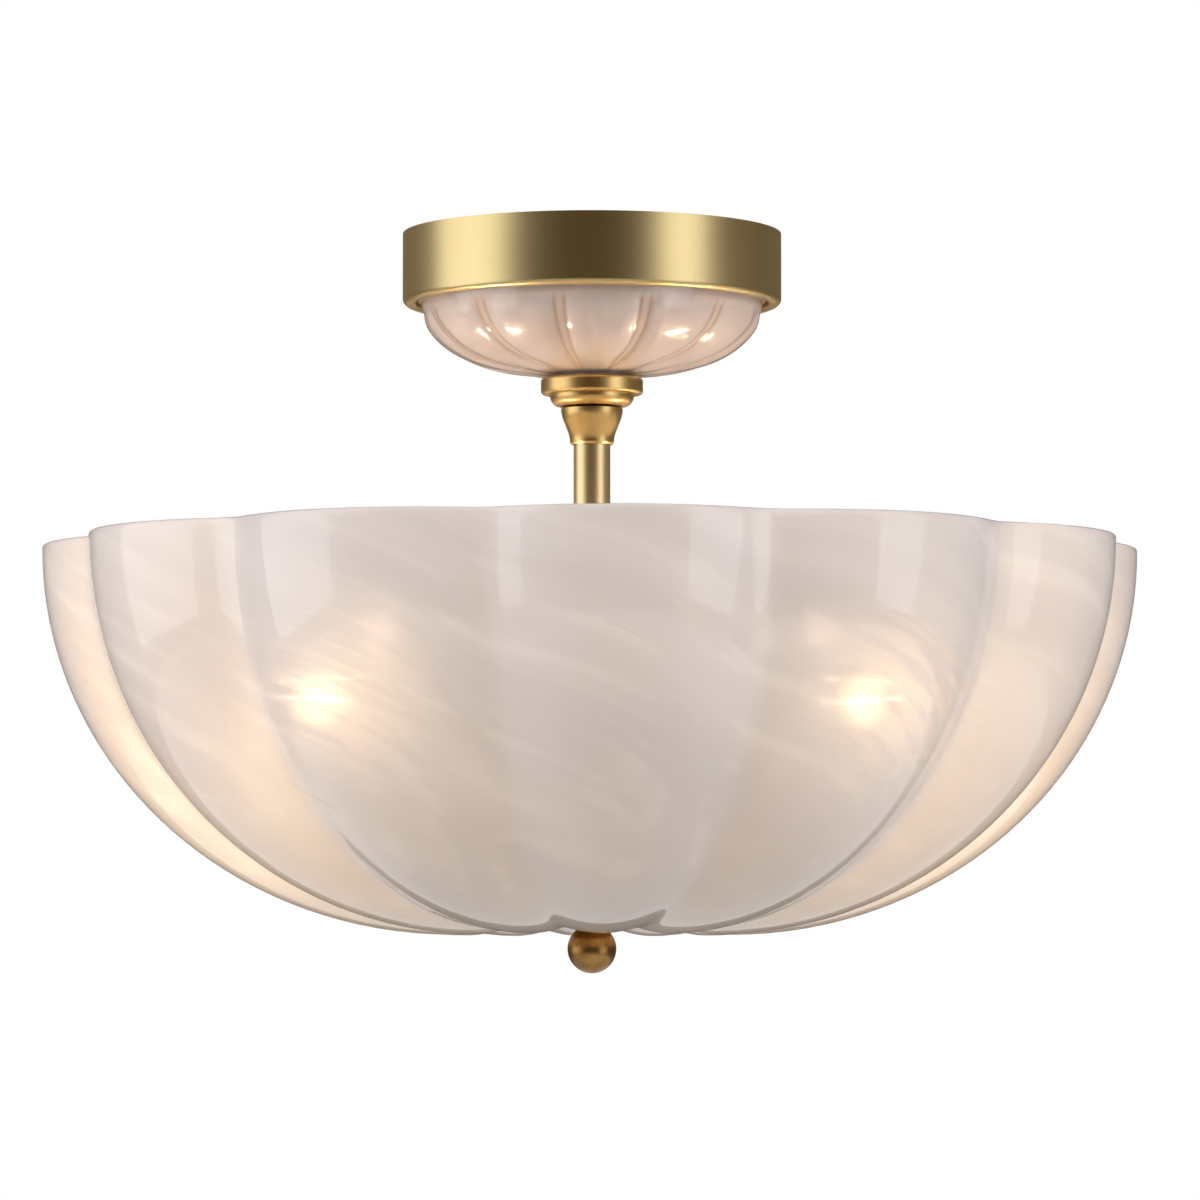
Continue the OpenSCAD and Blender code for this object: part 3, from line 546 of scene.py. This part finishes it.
def swirl_glass(tree, place, facing):
    """Cloudy glass drawn out in a twist, with pale wisps and a glossy skin, and the light of the
    lamps behind it painted into its emission as glow.
    """
    x, y, z = parts_of(place)
    r = sqrt(x * x + y * y)
    twist = (z - r * 0.55) * 13.0  # the streaks turn as they climb and run outwards
    c, s = cosine(twist), sine(twist)
    along = vector_of(tree, x * c - y * s, x * s + y * c, z * 0.25)
    wisps = noise(along, 44.0, 2.0, 0.45)
    drifts = noise(along, 17.0, 2.0, 0.45, 0.2)
    clouds = noise(place, 9.0, 3.0, 0.5)
    scratches = smooth_step(noise(along, 150.0, 0.0, 0.5), 0.78, 0.86)
    scratches = scratches * smooth_step(clouds, 0.54, 0.62)
    base = mix_colour(smooth_step(clouds, 0.3, 0.7),
                      colour(0.71, 0.685, 0.715), colour(0.75, 0.71, 0.715))
    base = mix_colour(smooth_step(drifts, 0.35, 0.7) * 0.5, base, colour(0.80, 0.78, 0.79))
    base = mix_colour(smooth_step(wisps, 0.5, 0.8) * 0.65, base, colour(0.87, 0.85, 0.85))
    base = mix_colour(scratches * 0.3, base, colour(0.5, 0.44, 0.40))
    outwards = vector_of(tree, x, y, z - RIM_Z)
    turned_out = vector_node(tree, "DOT_PRODUCT", facing, outwards, out="Value")
    outside = smooth_step(turned_out, 0.0, 0.02)
    slant = add(tree, "ShaderNodeLayerWeight", None, {"Blend": 0.5})("Facing")
    # Painted glow: the lamps' light through the glass, fainter where the surface is seen edge-on
    glow = painted_lamp_glow(tree, place, facing) * (0.7 + drifts * 0.4 + wisps * 0.2)
    glow = (glow + 0.06) * (1.0 - slant ** 1.5 * 0.85)

    # Before and behind each lamp a hot core with a brushed halo is painted into the glow of the
    # outer faces, and the glass is clearer there. The painted cores lie 115 mm left and 92 mm right
    # of the axis.
    brushed = smooth_step(noise(along, 120.0, 2.0), 0.4, 0.6)
    core_x, core_z = abs(x + 11.5 * MM) - 103.5 * MM, z + 200.5 * MM
    halo_x, halo_z = abs(x) - 107.0 * MM, z + 197.0 * MM
    from_core = sqrt(core_x * core_x + core_z * core_z)
    from_halo = sqrt(halo_x * halo_x + halo_z * halo_z)
    painted_core = (1.0 - smooth_step(from_core, 1.0 * MM, 13.0 * MM)) * (0.75 + brushed * 0.5)
    painted_halo = 1.0 - smooth_step(from_halo, 0.0, 60.0 * MM)
    glow = glow + outside * (painted_halo * painted_halo * (0.3 + brushed * 0.3) + painted_core * 1.2)
    painted_glow_colour = scaled(vector_of(tree, 0.50, 0.33, 0.15), glow)
    window = (1.0 - smooth_step(from_core, 2.0 * MM, 7.5 * MM)) * (0.3 + brushed * 0.7)
    return {
        "Base Color": base, "Roughness": 0.52 + slant * 1.3 - outside * 0.22,
        "Alpha": 0.96 - window * 0.13, "IOR": 1.5, "Specular IOR Level": 0.12,
        "Transmission Weight": 0.28, "Coat Weight": outside, "Coat Roughness": 0.05,
        "Emission Color": painted_glow_colour, "Emission Strength": 1.0,
        "Normal": bump(tree, drifts * 0.8 + wisps * 0.2, 0.8 * MM, 0.2),
    }


def milk_glass(tree, place, _):
    """Pinkish cream glass under a clear casing. Its grooves between the panels are browner, partly
    the glass's own tint and partly painted shade, darkest along their edges.
    """
    x, y, z = parts_of(place)
    clouds = noise(place, 26.0, 4.0, 0.5, 0.6)
    streaks = noise(vector_of(tree, x, y, z * 0.4), 90.0, 3.0)
    base = mix_colour(smooth_step(clouds, 0.3, 0.7),
                      colour(0.65, 0.54, 0.47), colour(0.71, 0.60, 0.54))
    base = mix_colour(smooth_step(streaks, 0.5, 0.8) * 0.5, base, colour(0.79, 0.70, 0.65))
    angle = x.math("ARCTAN2", y, x) / (2.0 * math.pi)
    lobe = place_in_lobe(angle, PANELS)
    below_band = smooth_step(-z, 31.0 * MM, 35.0 * MM)
    # Browner grooves: partly the glass's own tint, partly painted shade. Their edges get painted
    # shade in dark brown
    groove = smooth_step(lobe, 0.80, 0.90) * below_band
    groove_edge_shade = groove * (1.0 - smooth_step(lobe, 0.88, 0.96))
    base = mix_colour(groove * 0.45, base, colour(0.60, 0.45, 0.34))
    base = mix_colour(groove_edge_shade * 0.75, base, colour(0.42, 0.27, 0.16))
    lumps = noise(place, 75.0, 2.0, 0.5, 0.8) * (1.0 - below_band) * 2.0
    return {
        "Base Color": base, "Roughness": 0.28 + clouds * 0.1, "IOR": 1.5,
        "Subsurface Weight": 0.3, "Subsurface Radius": (4.0 * MM, 3.5 * MM, 3.0 * MM),
        "Coat Weight": 1.0, "Coat Roughness": 0.03,
        "Normal": bump(tree, clouds + lumps, 0.9 * MM, 0.5),
    }


def bulb_glass(tree, place, _):
    """Clear glass, which shows more of itself towards its edge."""
    ripple = noise(place, 45.0, 2.0)
    edge = add(tree, "ShaderNodeLayerWeight", None, {"Blend": 0.3})("Facing")
    return {
        "Base Color": mix_colour(ripple, colour(0.16, 0.14, 0.11), colour(0.20, 0.18, 0.15)),
        "Roughness": 0.08 + ripple * 0.05, "IOR": 1.45, "Specular IOR Level": 0.12,
        "Alpha": 0.12 + edge * 0.4,
        "Emission Color": mix_colour(ripple, colour(1.0, 0.80, 0.55), colour(1.0, 0.84, 0.62)),
        "Emission Strength": 0.9, "Normal": bump(tree, ripple, 0.2 * MM, 0.3),
    }


def glow_strip(tree, place, _):
    """Glass stem and support wires, which don't glow, and the strips round them, which do."""
    grains = noise(place, 900.0, 2.0)
    x, y, z = parts_of(place)
    up = z - LAMP_Z
    off_stem = above(sqrt(y * y + up * up), 3.5 * MM)
    in_length = smaller(above(abs(x), 94.5 * MM), above(129.5 * MM - abs(x), 0.0))
    on_strip = off_stem * in_length
    warm = mix_colour(grains, colour(1.0, 0.74, 0.45), colour(1.0, 0.85, 0.6))
    return {
        "Base Color": mix_colour(grains, colour(0.9, 0.55, 0.15), colour(0.95, 0.7, 0.25)),
        "Roughness": 0.6, "Emission Color": scaled(warm, on_strip), "Emission Strength": 190.0,
        "Normal": bump(tree, grains, 0.1 * MM),
    }


# Each finish, and the solids that keep their shape and get it
FINISHES = {
    "satin_brass": (
        turned_brass(colour(0.76, 0.61, 0.30), colour(0.70, 0.55, 0.26), 0.29, 0.0006 * MM),
        "canopy_pan cluster_body cluster_cover left_arm right_arm bowl_inner_washer"),
    "golden_brass": (
        turned_brass(colour(0.80, 0.56, 0.22), colour(0.72, 0.49, 0.18), 0.30, 0.0015 * MM),
        "collar_ring stem_coupling"),
    "pale_brass": (
        turned_brass(colour(0.92, 0.72, 0.38), colour(0.86, 0.66, 0.33), 0.34, 0.001 * MM),
        "stem_tube"),
    "aged_brass": (aged_brass, "finial_washer finial_ball"),
    "zinc_steel": (
        zinc_steel,
        "mounting_strap threaded_nipple nipple_nuts cluster_screws hanger_rod rod_nuts"),
    "nickel_cap": (nickel_cap, "left_bulb_cap right_bulb_cap"),
    "green_steel": (green_steel, "ground_screw"),
    "bright_brass": (
        bright_brass,
        "terminal_screws left_screw_shell right_screw_shell left_contact right_contact"),
    "block_plastic": (
        moulding(colour(0.74, 0.72, 0.68), colour(0.64, 0.62, 0.58), 0.38, 900.0),
        "terminal_block"),
    "holder_ceramic": (
        moulding(colour(0.80, 0.78, 0.73), colour(0.70, 0.68, 0.62), 0.32, 600.0),
        "left_lampholder right_lampholder"),
    "lead_sleeve": (
        moulding(colour(0.76, 0.72, 0.62), colour(0.62, 0.58, 0.48), 0.6, 1600.0),
        "supply_leads"),
    "silicone": (silicone, "canopy_glass_seal collar_seal bowl_inner_seal bowl_lower_seal"),
    "bulb_glass": (bulb_glass, "left_bulb_glass right_bulb_glass"),
    "glow_strip": (glow_strip, "left_bulb_filament right_bulb_filament"),
    "swirl_glass": (swirl_glass, ""),
    "milk_glass": (milk_glass, ""),
}
finish = {}
for name, (build, members) in FINISHES.items():
    finish[name] = make_material(name, build)
    for node in members.split():
        mesh = nodes[node].data
        mesh.materials.clear()
        mesh.materials.append(finish[name])

# The two glasses, at the sizes of the solids that they stand for
bowl = grow("swirl_bowl", bowl_tree(), finish["swirl_glass"], {
    "Radius": 225.0 * MM, "Height": 159.0 * MM, "Wall": 5.0 * MM, "Crease": 13.0 * MM,
    "Low crease": 2.4 * MM, "Low ring": 57.5 * MM, "Seat": 22.0 * MM, "Hole": 4.5 * MM,
    "Dimple": 6.3 * MM, "Rim": 1.5 * MM, "Seat height": -282.0 * MM, "Valley": 0.12,
    "Lobes": 12, "Around": 384, "Along": 150,
})
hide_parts("bowl_glass")
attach(bowl, "bowl")

dish = grow("milk_dish", dish_tree(), finish["milk_glass"], {
    "Radius": 71.6 * MM, "Height": 33.0 * MM, "Wall": 3.5 * MM, "Band": 2.9 * MM,
    "Seat": 14.0 * MM, "Hole": 5.65 * MM, "Rim height": -25.3 * MM, "Groove": 1.1 * MM,
    "Bulge": 1.9 * MM, "Panel edge": 0.86, "Panel top": 7.6 * MM, "Corner": 6.0 * MM,
    "Band dip": 0.3 * MM, "Panels": PANELS, "Around": 480, "Along": 150,
})
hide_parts("canopy_glass")
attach(dish, "root")

# Screw threads and leads, at the sizes of the solids that they stand for. The threads' outlines
# and values and the leads' course are in millimetres.

LEAD_COURSE = [(9.333, 31.0, -18.5), (9.333, 19.0, -18.5), (9.333, 19.0, -2.4),
               (9.333, 0.0, -2.4), (1.3, 0.0, -2.4), (1.3, 0.0, -188.0), (33.0, 0.0, -188.0)]


def place_threaded(name, outline, values, material, node, body, side=0):
    """Grows a threaded piece about the upright axis, or about the arm on that side. The outline
    is of (radius, height) points."""
    tree = threaded_tree(name, [(r * MM, z * MM) for r, z in outline])
    sizes = {key: value if key in ("Around", "Along") else value * MM
             for key, value in values.items()}
    piece = grow(name, tree, finish[material], sizes)
    if side:
        level = Matrix.Rotation(side * math.pi / 2, 4, "Y")
        piece.data.transform(Matrix.Translation((0.0, 0.0, LAMP_Z)) @ level)
    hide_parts(node)
    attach(piece, body)


place_threaded("nipple_thread", [
    (3.5, -78.0), (5.0, -78.0), (5.0, -4.5), (3.5, -4.5), (3.5, -78.0),
], {
    "Pitch": 1.0, "Depth": 0.45, "Start": -78.0, "End": -4.5, "Run-out": 0.4,
    "Least radius": 4.0, "Around": 40, "Along": 1100,
}, "zinc_steel", "threaded_nipple", "root")
place_threaded("rod_thread", [
    (0.0, -292.0), (2.2, -292.0), (3.0, -291.2), (3.0, -200.8), (2.2, -200.0), (0.0, -200.0),
], {
    "Pitch": 1.0, "Depth": 0.4, "Start": -292.0, "End": -200.0, "Run-out": 0.6,
    "Least radius": 2.5, "Around": 32, "Along": 760,
}, "zinc_steel", "hanger_rod", "root")
for side, name in ((-1, "left"), (1, "right")):
    place_threaded(name + "_arm_thread", [
        (3.5, 13.4), (5.0, 13.4), (5.0, 31.0), (3.5, 31.0), (3.5, 13.4),
    ], {
        "Pitch": 1.0, "Depth": 0.4, "Start": 13.4, "End": 31.0, "Run-out": 0.4,
        "Least radius": 4.0, "Around": 40, "Along": 300,
    }, "satin_brass", name + "_arm", "root", side)
    place_threaded(name + "_cap_thread", [
        (0.0, 36.0), (3.4, 36.0), (4.4, 36.8), (6.0, 38.0), (11.0, 41.0), (12.4, 42.0),
        (13.2, 43.5), (13.2, 60.0), (12.4, 61.0), (12.4, 63.0), (0.0, 63.0),
    ], {
        "Pitch": 3.63, "Depth": 0.9, "Start": 43.5, "End": 60.0, "Run-out": 1.2,
        "Least radius": 12.0, "Around": 96, "Along": 240,
    }, "nickel_cap", name + "_bulb_cap", name + "_bulb", side)

    lead = grow(name + "_lead", lead_tree(), finish["lead_sleeve"], {
        "Radius": 1.1 * MM, "Bend": 4.0 * MM, "Bend points": 8, "Sides": 20,
    }, route=[(side * x * MM, y * MM, z * MM) for x, y, z in LEAD_COURSE])
    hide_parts("supply_leads")
    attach(lead, "root")


# Studio: a camera a little to the left and below, soft light from both sides, and a pale floor

CENTRE = Vector((0.0, 0.0, -0.15))
TO_CAMERA = Vector((-0.0652, -0.9979, 0.0))
TO_RIGHT = Vector((0.9979, -0.0652, 0.0))


def round_centre(side, lift, distance):
    """Place at this many degrees to the camera's right and up, seen from the light's middle."""
    side, lift = math.radians(side), math.radians(lift)
    level = TO_CAMERA * math.cos(side) + TO_RIGHT * math.sin(side)
    return CENTRE + (level * math.cos(lift) + Vector((0.0, 0.0, math.sin(lift)))) * distance


def put_facing(thing, place, aim):
    thing.location = place
    thing.rotation_euler = (aim - place).to_track_quat("-Z", "Y").to_euler()
    bpy.context.scene.collection.objects.link(thing)


def soft_lamp(name, side, lift, distance, width, height, radiance, tint):
    """Lamp aimed at the light's middle. At a radiance of 1 its reflection is white."""
    lamp = bpy.data.lights.new(name, "AREA")
    lamp.shape = "RECTANGLE"
    lamp.size, lamp.size_y = width, height
    lamp.energy = radiance * math.pi * width * height
    lamp.color = tint
    holder = bpy.data.objects.new(name, lamp)
    put_facing(holder, round_centre(side, lift, distance), CENTRE)
    return holder


def set_up(name, points, faces, material):
    """Adds a plain mesh to the studio, which isn't part of the light."""
    mesh = bpy.data.meshes.new(name)
    mesh.from_pydata(points, [], faces)
    mesh.materials.append(material)
    screen = bpy.data.objects.new(name, mesh)
    bpy.context.scene.collection.objects.link(screen)
    return screen


def studio_wall(distance, low, high, level, level_behind_camera):
    """Dim round wall, which only shows in reflections. It is darkest behind the camera."""
    made, tree = new_material("studio_wall")
    place = add(tree, "ShaderNodeTexCoord")("Object")
    ahead = vector_node(tree, "DOT_PRODUCT", place, tuple(TO_CAMERA), out="Value") / distance
    near = smooth_step(ahead, 0.6, 0.95)
    shade = level + (level_behind_camera - level) * near
    tint = mix_colour(near, colour(1.0, 0.84, 0.66), colour(1.0, 0.66, 0.34))
    glow = add(tree, "ShaderNodeEmission", None, {"Color": tint, "Strength": shade})
    send_out_shader(tree, glow("Emission"))

    steps = 64
    angles = [2 * math.pi * k / steps for k in range(steps)]
    points = [(math.cos(angle) * distance, math.sin(angle) * distance, z)
              for z in (low, high) for angle in angles]
    faces = [(k, (k + 1) % steps, (k + 1) % steps + steps, k + steps) for k in range(steps)]
    wall = set_up("studio_wall", points, faces, made)
    wall.visible_camera = False
    wall.visible_shadow = False
    wall.visible_diffuse = False
    wall.visible_transmission = False


def seen_directly(tree):
    """1 where the camera, metal or glass sees the surface, and 0 where it lights the rest."""
    path = add(tree, "ShaderNodeLightPath")
    return clamp(path("Is Camera Ray") + path("Is Glossy Ray") + path("Is Transmission Ray"))


def white_world(diffuse_level):
    """White wherever it is seen, and softer as a light."""
    world = bpy.data.worlds.new("studio")
    bpy.context.scene.world = world
    world.use_nodes = True
    tree = world.node_tree
    tree.nodes.clear()
    seen = seen_directly(tree)
    strength = seen + (1.0 - seen) * diffuse_level
    sky = add(tree, "ShaderNodeBackground", None, {"Color": colour(1, 1, 1), "Strength": strength})
    out = tree.nodes.new("ShaderNodeOutputWorld")
    tree.links.new(sky("Background").socket, out.inputs["Surface"])


def pale_floor(height, reach):
    """Pale paper that mostly shows white, and still takes the light's shadow."""
    made, tree = new_material("floor")
    place = add(tree, "ShaderNodeTexCoord")("Object")
    seen = seen_directly(tree)
    paper = add(tree, "ShaderNodeBsdfDiffuse", None, {
        "Color": mix_colour(noise(place, 2.0), colour(0.70, 0.73, 0.77), colour(0.74, 0.77, 0.81)),
    })("BSDF")
    white = add(tree, "ShaderNodeEmission", None, {"Color": colour(1, 1, 1), "Strength": 1.0})
    mixed = add(tree, "ShaderNodeMixShader", None, {0: seen * 0.75, 1: paper, 2: white("Emission")})
    send_out_shader(tree, mixed("Shader"))
    corners = [(-reach, -reach, height), (reach, -reach, height), (reach, reach, height),
               (-reach, reach, height)]
    set_up("floor", corners, [(0, 1, 2, 3)], made)


# The photo's viewpoint is 2.47 m away, level with the finial and a little to the left
camera_data = bpy.data.cameras.new("camera")
camera_data.lens = 180.5
camera_data.sensor_width = 36.0
camera_data.clip_end = 100.0
camera = bpy.data.objects.new("camera", camera_data)
put_facing(camera, Vector((-0.161, -2.461, -0.313)), Vector((0.0033, -0.0002, -0.151)))
bpy.context.scene.camera = camera
bpy.context.scene.view_settings.view_transform = "Standard"

white_world(diffuse_level=0.36)
pale_floor(height=-4.3, reach=21.0)
soft_lamp("left_softbox", side=-78.0, lift=9.0, distance=2.4, width=2.3, height=2.6,
          radiance=1.4, tint=(0.96, 0.98, 1.05))
soft_lamp("right_softbox", side=55.5, lift=9.0, distance=2.4, width=1.25, height=2.6,
          radiance=1.5, tint=(0.97, 0.98, 1.05))
for name, side, lift, radiance, tint in (
        ("left_key", -62.0, 20.0, 2.5, (0.93, 0.96, 1.0)),
        ("right_key", 66.0, 16.0, 2.5, (0.95, 0.96, 1.0)),
        ("front_fill", -8.0, 35.0, 0.45, (1.0, 0.98, 0.97))):
    lamp = soft_lamp(name, side, lift, distance=2.6, width=1.6, height=1.6,
                     radiance=radiance, tint=tint)
    lamp.visible_glossy = False
studio_wall(distance=4.6, low=-2.3, high=3.6, level=0.155, level_behind_camera=0.062)
